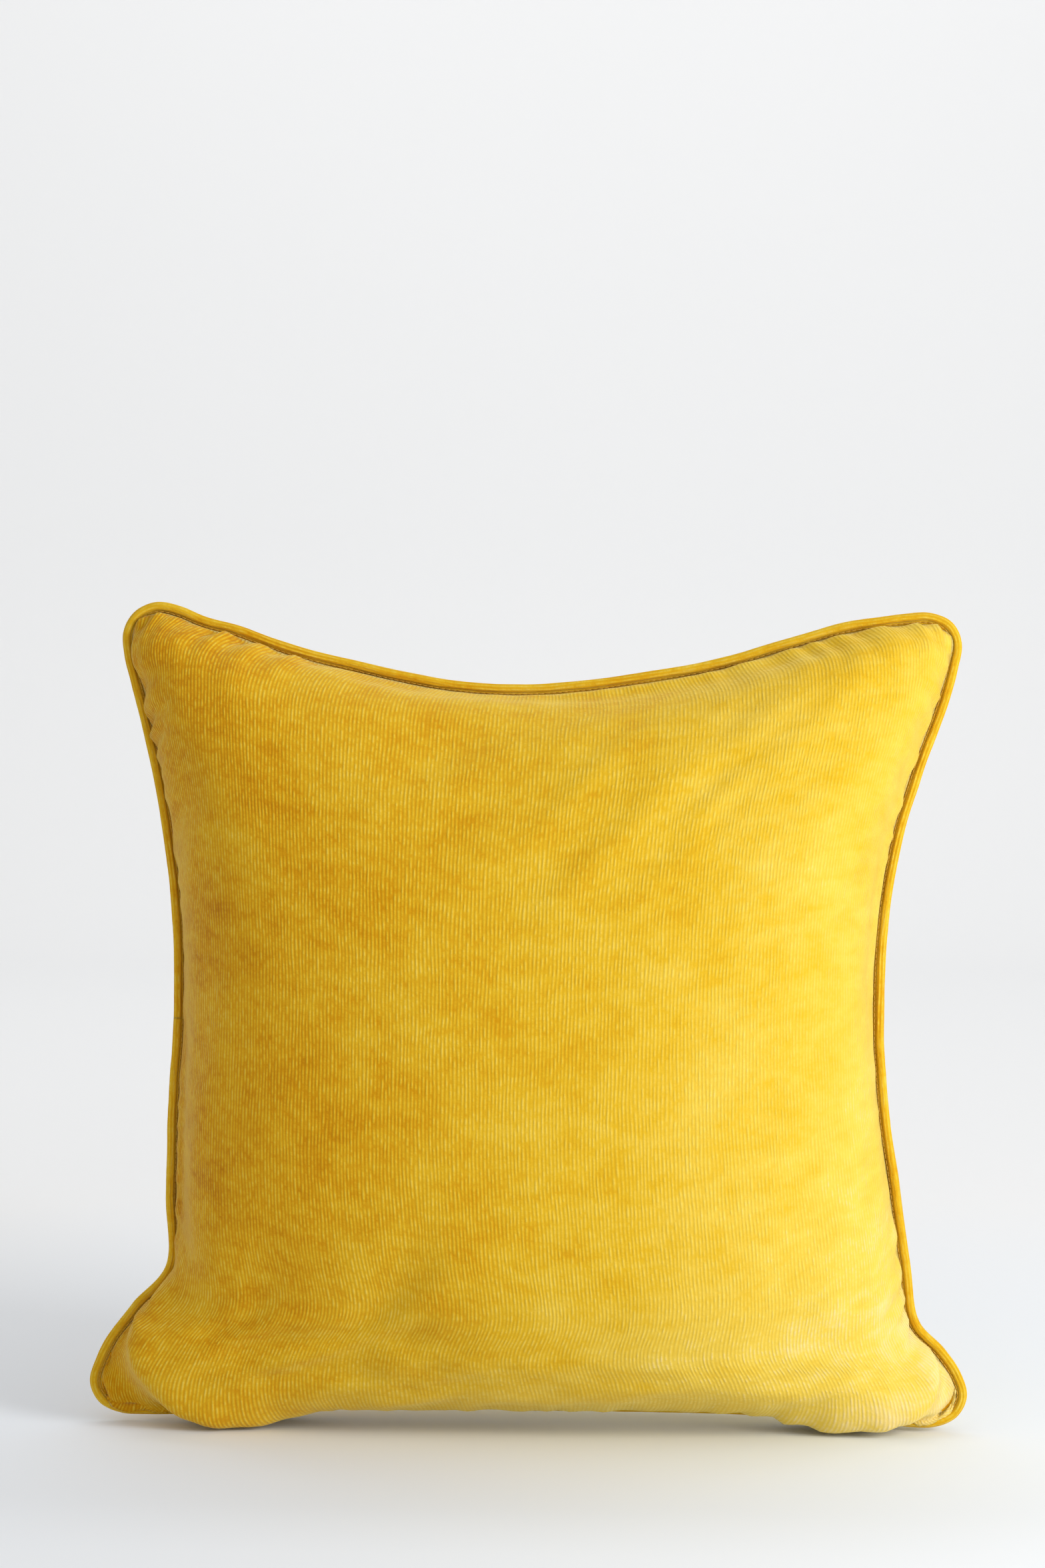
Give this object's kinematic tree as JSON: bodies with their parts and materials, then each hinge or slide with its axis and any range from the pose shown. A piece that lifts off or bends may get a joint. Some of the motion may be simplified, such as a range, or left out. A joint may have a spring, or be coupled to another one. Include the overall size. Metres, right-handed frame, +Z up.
{
  "type": "throw pillow",
  "caption": "Square throw pillow standing on its edge: ribbed chenille cover with self piping, zip across the back and a fibre pad inside.",
  "frame": {"origin": "on the floor, below the middle of the pillow's bounding box, as it stands on its lower edge", "axes": "+X to the pillow's right seen from the front, the front faces -Y, +Z up"},
  "size_m": [0.4498, 0.1728, 0.4214],
  "materials": {
    "chenille": "matte",
    "cotton_cord": "matte",
    "polyester_thread": "satin",
    "nonwoven": "matte",
    "polyester_fibre": "matte",
    "zip_tape": "matte",
    "zip_coil": "satin",
    "zip_metal": "satin",
    "label_satin": "satin"
  },
  "bodies": {
    "pillow": {"front_panel": "chenille", "back_panel_upper": "chenille", "back_panel_lower": "chenille", "piping_sleeve": "chenille", "piping_cord": "cotton_cord", "seam_needle_thread": "polyester_thread", "seam_bobbin_thread": "polyester_thread", "pad_casing_front": "nonwoven", "pad_casing_back": "nonwoven", "pad_seam_thread": "polyester_thread", "fibre_filling": "polyester_fibre", "zip_tape_upper": "zip_tape", "zip_tape_lower": "zip_tape", "zip_coil_upper": "zip_coil", "zip_coil_lower": "zip_coil", "zip_top_stop": "zip_metal", "zip_bottom_stop": "zip_metal", "care_label": "label_satin"},
    "slider": {"zip_slider": "zip_metal"},
    "pull": {"zip_pull": "zip_metal"}
  },
  "joints": [
    {"name": "zip_slide", "type": "slide", "parent": "pillow", "child": "slider", "axis": [-1, 0, 0], "range_m": [0, 0.2901]},
    {"name": "pull_pivot", "type": "hinge", "parent": "slider", "child": "pull", "pos_m": [0.14498, 0.04535, 0.05143], "axis": [0, -0.4695, -0.8829], "range_deg": [0, 175]}
  ]
}
